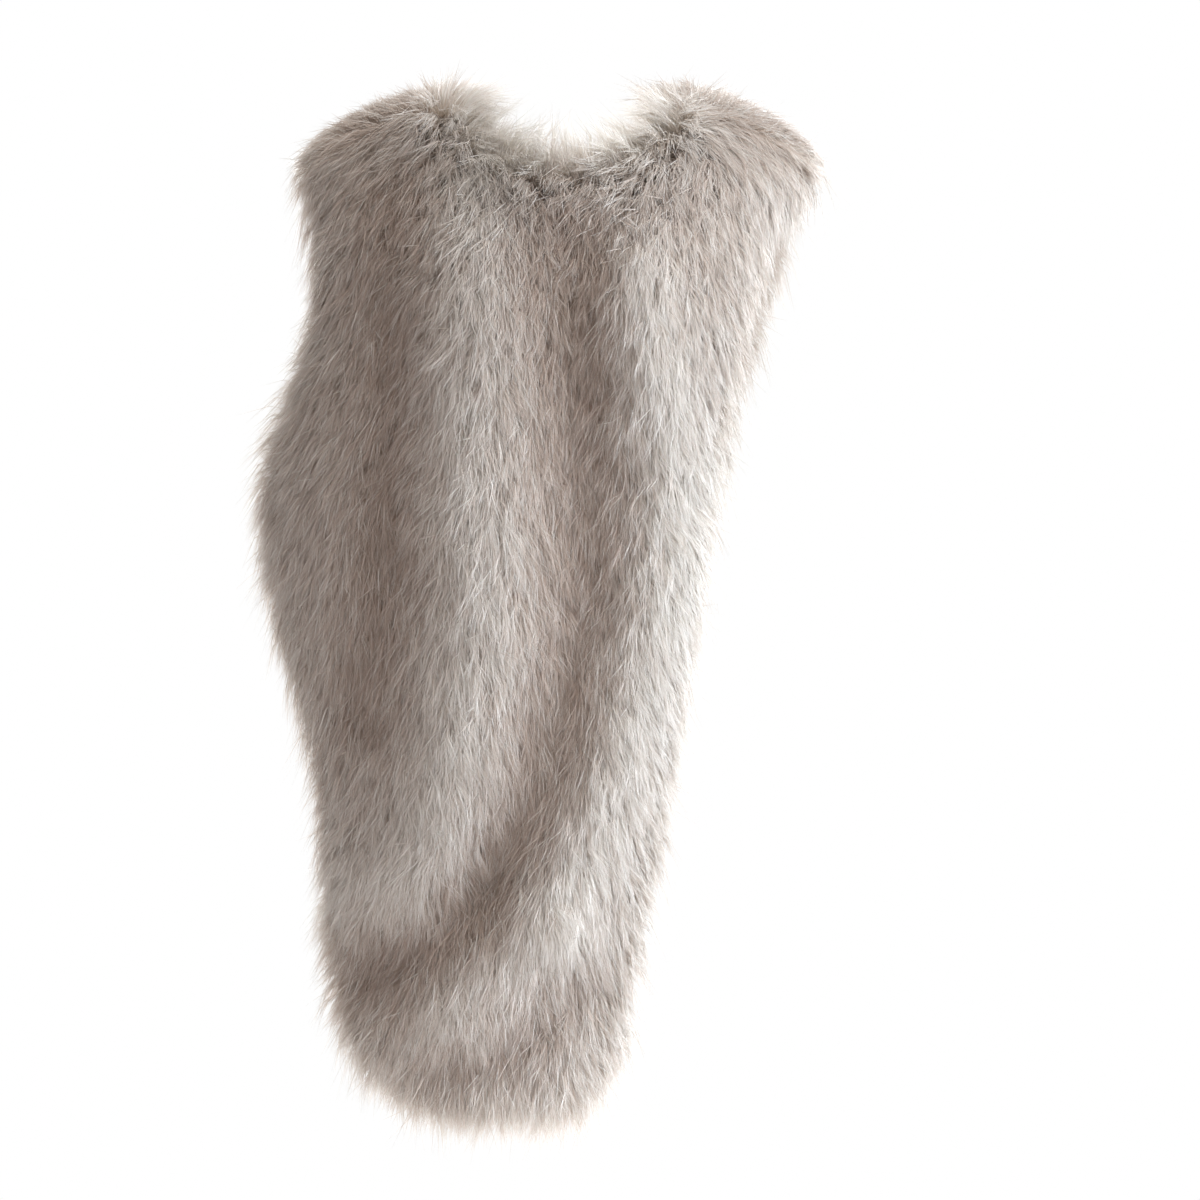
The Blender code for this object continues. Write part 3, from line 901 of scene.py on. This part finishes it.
def roots_on(panel, count, folds, side):
    """Where fibres start: how far down, point, nap, way up, shade, edge's distance and rise."""
    cloth, normals, nap, stand, out, edge, rise, turn = panel
    i, j = scattered(cloth, count)
    point = read(cloth, i, j) + unit(read(normals, i, j)) * BACKING_THICKNESS
    up = unit(read(stand, i, j))
    turned_up = rng.random((len(i), 1)) < read(turn, i, j)
    lie = np.where(turned_up, read(out, i, j), read(nap, i, j))
    lie = unit(lie - up * np.einsum("ij,ij->i", lie, up)[:, None])
    lie = turned(lie, up, DRIFT_TURN * drift(point))
    hollow = fold_height(side * point[:, 0], point[:, 2], folds) / FOLD_SCALE
    near, raised = read(edge, i, j)[:, 0], read(rise, i, j)[:, 0]
    # painted shade in the hollows of folds and painted light on their ridges
    shade = MID_LIGHT + FOLD_LIGHT * np.clip(hollow, -1.2, 1.2)
    # painted light along the free edges and where the pile rises at the swirls by the neck
    shade = shade + EDGE_LIGHT * np.exp(-near / EDGE_LIGHT_REACH) + RISE_LIGHT * raised
    # painted light where the pile parts at the neckline, over the shade between its roots
    shade = shade + TURN_LIGHT * read(turn, i, j)[:, 0]
    return i / (cloth.shape[0] - 1), point, lie, up, shade, near, raised


# %% [markdown]
# ## The long fibres
# Fibres stick together in locks, so the locks are placed first, and each fibre starts near the
# middle of its lock and leans in towards its tip. Each rises steeply at its root, bends halfway
# and lies flatter at its tip. A few strays keep out of their lock. Near an edge the locks are
# longer, more ragged and more pointed and stand up more, which makes the fringe. About one fibre
# in five is painted much lighter than its neighbours: a painted glint, for the fibres of the real
# pile that catch the light.

# %% Lay out the long fibres
LOCK_FIBRES = 10
LOCK_RADIUS = 0.0040
LOCK_TURN = math.radians(13)
LOCK_BEND = math.radians(13)
LOCK_LIFT = math.radians(4)
LOCK_RAGGED = 0.10
LOCK_MOTTLE = 0.10
GATHER = 0.42
EDGE_REACH = 0.012
EDGE_GATHER = 0.38
EDGE_LIFT = math.radians(9)
EDGE_RAGGED = 0.16
EDGE_LONGER = 0.28
RISE_LONGER = 0.9
FIBRE_LENGTH = 0.028
FIBRE_WIDTH = 0.00066
FIBRE_TURN = math.radians(7)
FIBRE_LIFT = math.radians(5)
FIBRE_RAGGED = 0.09
FIBRE_MOTTLE = 0.08
STRAY_SHARE = 0.22
ROOT_LIFT = math.radians(57)
TIP_LIFT = math.radians(19)
RISE_LOW = math.radians(25)
RISE_HIGH = math.radians(48)
SAG = 0.006
# painted glints: the share of fibres painted much lighter, and by how much
PAINTED_GLINT_SHARE = 0.22
PAINTED_GLINT = 0.66


def mottled(shade, amount):
    """Shades that differ a little by chance, kept inside the pile's map."""
    return np.clip(shade + rng.normal(0, amount, len(shade)), 0.02, 0.98)


def long_fibres(panel, count, folds, side):
    """Bent ribbons: how far down, root, middle, tip, the way up, and how light each is."""
    place, point, lie, up, shade, edge, rise = roots_on(panel, count // LOCK_FIBRES, folds, side)
    locks = len(point)
    lie = turned(lie, up, rng.normal(0, LOCK_TURN, locks))
    bend = rng.normal(0, 1, locks) * LOCK_BEND
    by_edge = np.exp(-edge / EDGE_REACH)
    length = FIBRE_LENGTH * (1 + EDGE_LONGER * by_edge + RISE_LONGER * rise)
    length = length * np.clip(rng.normal(1, LOCK_RAGGED + EDGE_RAGGED * by_edge), 0.5, 1.3)
    lock_lift = rng.normal(0, LOCK_LIFT, locks) + EDGE_LIFT * by_edge
    shade = shade + rng.normal(0, LOCK_MOTTLE, locks)

    of_lock = (place, point, lie, up, edge, rise, bend, length, lock_lift, shade)
    place, point, lie, up, edge, rise, bend, length, lock_lift, shade = (
        np.repeat(values, LOCK_FIBRES, axis=0) for values in of_lock
    )
    total = len(point)
    beside = np.cross(up, lie)
    spread = LOCK_RADIUS * np.sqrt(rng.random(total)) * np.clip(edge / LOCK_RADIUS, 0.25, 1)
    turn = rng.uniform(0, 2 * math.pi, total)
    offset = (np.cos(turn)[:, None] * lie + np.sin(turn)[:, None] * beside) * spread[:, None]
    stray = rng.random(total) < STRAY_SHARE
    lie = turned(lie, up, rng.normal(0, 1, total) * FIBRE_TURN * (1 + 2.4 * stray))
    length = (length * np.clip(rng.normal(1, FIBRE_RAGGED, total), 0.8, 1.2))[:, None]
    lift = lock_lift + rng.normal(0, FIBRE_LIFT, total) * (1 + 2 * stray)
    low = (ROOT_LIFT + 0.6 * lift + RISE_LOW * rise)[:, None]
    high = (TIP_LIFT + lift + RISE_HIGH * rise)[:, None]
    gather = np.where(stray, 0.0, GATHER + EDGE_GATHER * np.exp(-edge / EDGE_REACH))[:, None]

    root = point + offset
    bend = bend * rng.normal(1, 0.3, total)
    first = np.cos(low) * turned(lie, up, -bend) + np.sin(low) * up
    last = np.cos(high) * turned(lie, up, bend) + np.sin(high) * up
    middle = root + 0.45 * length * first - 0.30 * gather * offset
    tip = middle + 0.60 * length * last - 0.70 * gather * offset
    middle[:, 2] -= SAG / 4
    tip[:, 2] -= SAG
    # painted glint on about one fibre in five
    bright = PAINTED_GLINT * (rng.random(total) < PAINTED_GLINT_SHARE)
    return place, root, middle, tip, up, mottled(shade + bright, FIBRE_MOTTLE)


# %% [markdown]
# ## A ribbon for each fibre
# A fibre is a flat ribbon of five points: two at its root, two halfway and one at its tip. Round
# fibres would need several times the faces and look the same from here. Each ribbon is rolled a
# little about its own length, so that together they shine from all sides as round fibres do.

# %% Make ribbons of the fibres
FIBRE_ROLL = math.radians(32)


def ribbon_points(root, middle, tip, up):
    """The five points of each ribbon, each ribbon rolled a little about its own length."""
    points = []
    roll = rng.normal(0, FIBRE_ROLL, len(root))
    for start, along, width in (
        (root, middle - root, FIBRE_WIDTH * 0.8),
        (middle, tip - root, FIBRE_WIDTH),
    ):
        along = unit(along)
        wide = turned(unit(np.cross(along, up)), along, roll) * width / 2
        points += [start - wide, start + wide]
    return np.stack((*points, tip), axis=1)


# %% [markdown]
# ## The undercoat
# Under the long fibres a short, dense undercoat hides the backing. It is never seen clearly, so
# each of its hairs is a single triangle, wider than a fibre.

# %% Lay out the undercoat
UNDER_LENGTH = 0.019
UNDER_WIDTH = 0.0017
UNDER_LIFT = math.radians(34)
UNDER_LIFT_SPREAD = math.radians(9)
UNDER_TURN = math.radians(16)
UNDER_RAGGED = 0.15
UNDER_ROLL = math.radians(30)


def undercoat(panel, count, folds, side):
    """Short hairs: how far down each is, its three points, and how light it is."""
    place, root, lie, up, shade, _, rise = roots_on(panel, count, folds, side)
    total = len(root)
    lie = turned(lie, up, rng.normal(0, UNDER_TURN, total))
    lift = UNDER_LIFT + 0.5 * RISE_HIGH * rise + rng.normal(0, UNDER_LIFT_SPREAD, total)
    length = (UNDER_LENGTH * rng.normal(1, UNDER_RAGGED, total))[:, None]
    along = np.cos(lift)[:, None] * lie + np.sin(lift)[:, None] * up
    roll = rng.normal(0, UNDER_ROLL, total)
    wide = turned(unit(np.cross(along, up)), along, roll) * UNDER_WIDTH / 2
    hairs = np.stack((root - wide, root + wide, root + along * length), axis=1)
    return place, hairs, mottled(shade, FIBRE_MOTTLE)


# %% [markdown]
# ## The pile of the turned edge
# Where the fabric is turned in, its pile comes round with it and sticks out past the edge on the
# inside. Its roots are a narrow band on the hem, and it falls a little under its own weight.

# %% Lay out the pile of the turned edge
HEM_FIBRE_LENGTH = 0.030
HEM_FIBRES_PER_METRE = 2600
HEM_ROOTS = 0.011
HEM_FALL = 0.45
HEM_TANGLE = 0.22
HEM_LIFTS = (math.radians(4), math.radians(40))


def hem_fibres(name):
    """Bent ribbons round a panel's free edge: root, middle, tip, the way up, and shade."""
    cloth, normals, on_seam = panels[name]
    parts = []
    for points, out, ups in edge_runs(cloth, normals, on_seam, want_seam=False):
        at = lengths_along(points)
        places = rng.random(int(HEM_FIBRES_PER_METRE * at[-1])) * at[-1]
        parts.append(between(places, at, points, out, ups))
    point, out, up = (np.concatenate(values) for values in zip(*parts))
    total = len(point)
    inner = -unit(up)
    root = point - out * rng.uniform(0.0, HEM_ROOTS, total)[:, None] + inner * HEM_LIFT
    fall = np.array((0, 0, -1)) * HEM_FALL
    lie = unit(out + fall + rng.normal(0, HEM_TANGLE, (total, 3)))
    lift = rng.uniform(*HEM_LIFTS, total)[:, None]
    length = (HEM_FIBRE_LENGTH * np.clip(rng.normal(1, 0.14, total), 0.6, 1.2))[:, None]
    middle = root + 0.45 * length * (np.cos(lift) * lie + np.sin(lift) * inner)
    tip = middle + 0.6 * length * unit(lie + fall * 0.5)
    return root, middle, tip, inner, mottled(np.full(total, 0.5), 0.16)


# %% [markdown]
# ## From points to a mesh
# Handing Blender whole arrays is hundreds of times quicker than adding vertices one by one. Every
# ribbon has the same two faces, so the arrays are one small pattern repeated.

# %% Build one mesh of fibres
FIBRE_CORNERS = np.array((0, 1, 3, 2, 2, 3, 4))
FIBRE_FACES = np.array((0, 4))
FIBRE_ALONG = np.array((0.0, 0.0, 0.5, 0.5, 0.5, 0.5, 1.0))
HAIR_CORNERS = np.array((0, 1, 2))
HAIR_ALONG = np.array((0.0, 0.0, 0.55))


def fibre_mesh(name, fibres, fibre_light, hairs, hair_light):
    """A mesh of ribbons and short hairs with their shared map."""
    mesh = bpy.data.meshes.new(name)
    fibre_corners = np.arange(len(fibres))[:, None] * fibres.shape[1] + FIBRE_CORNERS
    hair_corners = np.arange(len(hairs))[:, None] * hairs.shape[1] + HAIR_CORNERS
    hair_corners += fibres.shape[0] * fibres.shape[1]
    corners = np.concatenate((fibre_corners.ravel(), hair_corners.ravel()))
    points = np.concatenate((fibres.reshape(-1, 3), hairs.reshape(-1, 3)))
    fibre_starts = np.arange(len(fibres))[:, None] * len(FIBRE_CORNERS) + FIBRE_FACES
    hair_starts = np.arange(len(hairs)) * len(HAIR_CORNERS) + fibre_corners.size
    starts = np.concatenate((fibre_starts.ravel(), hair_starts))
    across = np.concatenate(
        (np.repeat(fibre_light, len(FIBRE_CORNERS)), np.repeat(hair_light, len(HAIR_CORNERS)))
    )
    along = np.concatenate((np.tile(FIBRE_ALONG, len(fibres)), np.tile(HAIR_ALONG, len(hairs))))

    mesh.vertices.add(len(points))
    mesh.vertices.foreach_set("co", points.astype(np.float32).ravel())
    mesh.loops.add(len(corners))
    mesh.loops.foreach_set("vertex_index", corners.astype(np.int32))
    mesh.polygons.add(len(starts))
    mesh.polygons.foreach_set("loop_start", starts.astype(np.int32))
    mesh.update(calc_edges=True)
    layer = mesh.uv_layers.new(name=PILE_MAP)
    uv = np.stack((across, 0.02 + 0.96 * along), axis=1)
    layer.data.foreach_set("uv", uv.astype(np.float32).ravel())
    mesh.shade_smooth()
    mesh.materials.append(pile_finish.material)
    return mesh


# %% [markdown]
# ## The whole pile
# Each panel's pile is grown in one go, and then cut into bands down the panel, so that no piece
# has too many faces to keep. The back has most of the cloth, so it has most of the fibres and
# four bands. The folds of the right front mirror the left one's, and its side of -1 says so.

# %% Grow the pile of all three panels
PILES = {
    "back_panel": (4, 160_000, 120_000, BACK_FOLDS, 1),
    "left_front": (1, 34_000, 26_000, FRONT_FOLDS, 1),
    "right_front": (1, 34_000, 26_000, FRONT_FOLDS, -1),
}


def grow(name, bands, fibre_count, hair_count, folds, side):
    """The pile of one panel, as one piece for each band down it."""
    cloth, normals, on_seam = panels[name]
    panel = (cloth, normals, *lie_of(cloth, normals, on_seam))
    fibre_place, *bends, fibre_light = long_fibres(panel, fibre_count, folds, side)
    hair_place, hairs, hair_light = undercoat(panel, hair_count, folds, side)
    *hem_bends, hem_light = hem_fibres(name)
    z = hem_bends[0][:, 2]
    hem_place = (z.max() - z) / (z.max() - z.min())
    fibres = ribbon_points(*(np.concatenate(pair) for pair in zip(bends, hem_bends)))
    fibre_place = np.concatenate((fibre_place, hem_place))
    fibre_light = np.concatenate((fibre_light, hem_light))
    cuts = np.quantile(fibre_place, np.linspace(0, 1, bands + 1)[1:-1])
    fibre_band = np.searchsorted(cuts, fibre_place)
    hair_band = np.searchsorted(cuts, hair_place)
    pieces = []
    for band in range(bands):
        label = f"{name}_pile_{band + 1}"
        mine, short = fibre_band == band, hair_band == band
        mesh = fibre_mesh(label, fibres[mine], fibre_light[mine], hairs[short], hair_light[short])
        pieces.append(add_object(label, mesh))
        print(label, "has", mine.sum(), "fibres and", short.sum(), "short hairs")
    return pieces


piles = {name: grow(name, *row) for name, row in PILES.items()}

# %% [markdown]
# ## Fastening the pieces to the frame
# Each backing stands for its solid, the pile goes with it, and everything rides on the one body.

for name, backing in backings.items():
    with_backing = [hems[name], threads[name], *piles[name]]
    for piece in (backing, *with_backing):
        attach(piece, "root")
        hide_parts(name)

# %% [markdown]
# ## Light
# The photograph has soft studio light: bright, cool and wide from the right, and weaker and warmer
# from above and from the left. Wide lamps give shadows with soft edges. A small lamp near the
# floor lights the hem from below, and one on the other side lights the fronts.

# %% Light the scene
LIGHTS = (
    ("key", (-2.5, 0.35, 0.45), 1.3, 102.0, (0.86, 0.93, 1.0)),
    ("fill", (1.2, 2.6, 0.3), 1.6, 9.5, (1.0, 0.98, 0.95)),
    ("top", (-0.6, 0.6, 1.7), 1.2, 19.0, (1.0, 0.96, 0.90)),
    ("low", (-0.2, 1.3, -1.25), 1.0, 4.0, (1.0, 0.96, 0.90)),
    ("front", (0.9, -2.5, 0.6), 1.8, 105.0, (1.0, 0.99, 0.97)),
)
AIM = Vector((0.0, 0.08, -0.35))

for name, place, size, power, colour in LIGHTS:
    lamp = bpy.data.lights.new(name, "AREA")
    lamp.size = size
    lamp.energy = power
    lamp.color = colour
    holder = add_object(name, lamp)
    holder.location = place
    holder.rotation_euler = (AIM - Vector(place)).to_track_quat("-Z", "Y").to_euler()
print("lamps:", len(LIGHTS))

# %% [markdown]
# ## White ground and floor
# The world is white to the camera, but dimmer and warmer as a light, so that the pile keeps its
# shadows. The floor is a pale disc at standing height, and it glows faintly, so that it stays as
# light as the white behind it.

# %% Set the ground and the floor
FLOOR_Z = -1.36
FLOOR_RADIUS = 1.75
FLOOR_COLOUR = (0.94, 0.94, 0.94, 1)
FLOOR_GLOW = 0.5
AMBIENT = 0.23
AMBIENT_COLOUR = (1.0, 0.87, 0.82, 1)

world = bpy.data.worlds.new("studio")
bpy.context.scene.world = world
world.use_nodes = True
nodes, links = world.node_tree.nodes, world.node_tree.links
seen = nodes["Background"]
seen.inputs["Color"].default_value = (1, 1, 1, 1)
seen.inputs["Strength"].default_value = 1.0
lit = nodes.new("ShaderNodeBackground")
lit.inputs["Color"].default_value = AMBIENT_COLOUR
lit.inputs["Strength"].default_value = AMBIENT
either = nodes.new("ShaderNodeMixShader")
links.new(nodes.new("ShaderNodeLightPath").outputs["Is Camera Ray"], either.inputs[0])
links.new(lit.outputs[0], either.inputs[1])
links.new(seen.outputs[0], either.inputs[2])
links.new(either.outputs[0], nodes["World Output"].inputs["Surface"])
bpy.context.scene.view_settings.view_transform = "Standard"

bpy.ops.object.select_all(action="DESELECT")
bpy.ops.mesh.primitive_circle_add(
    vertices=96, radius=FLOOR_RADIUS, fill_type="NGON", location=(0, 0, FLOOR_Z)
)
floor = bpy.context.object
floor.name = "floor"
floor_finish = Finish(
    "pale_floor",
    Base_Color=FLOOR_COLOUR,
    Roughness=0.9,
    Emission_Color=(1, 1, 1, 1),
    Emission_Strength=FLOOR_GLOW,
)
floor.data.materials.append(floor_finish.material)
print("floor at", FLOOR_Z, "under a white world")
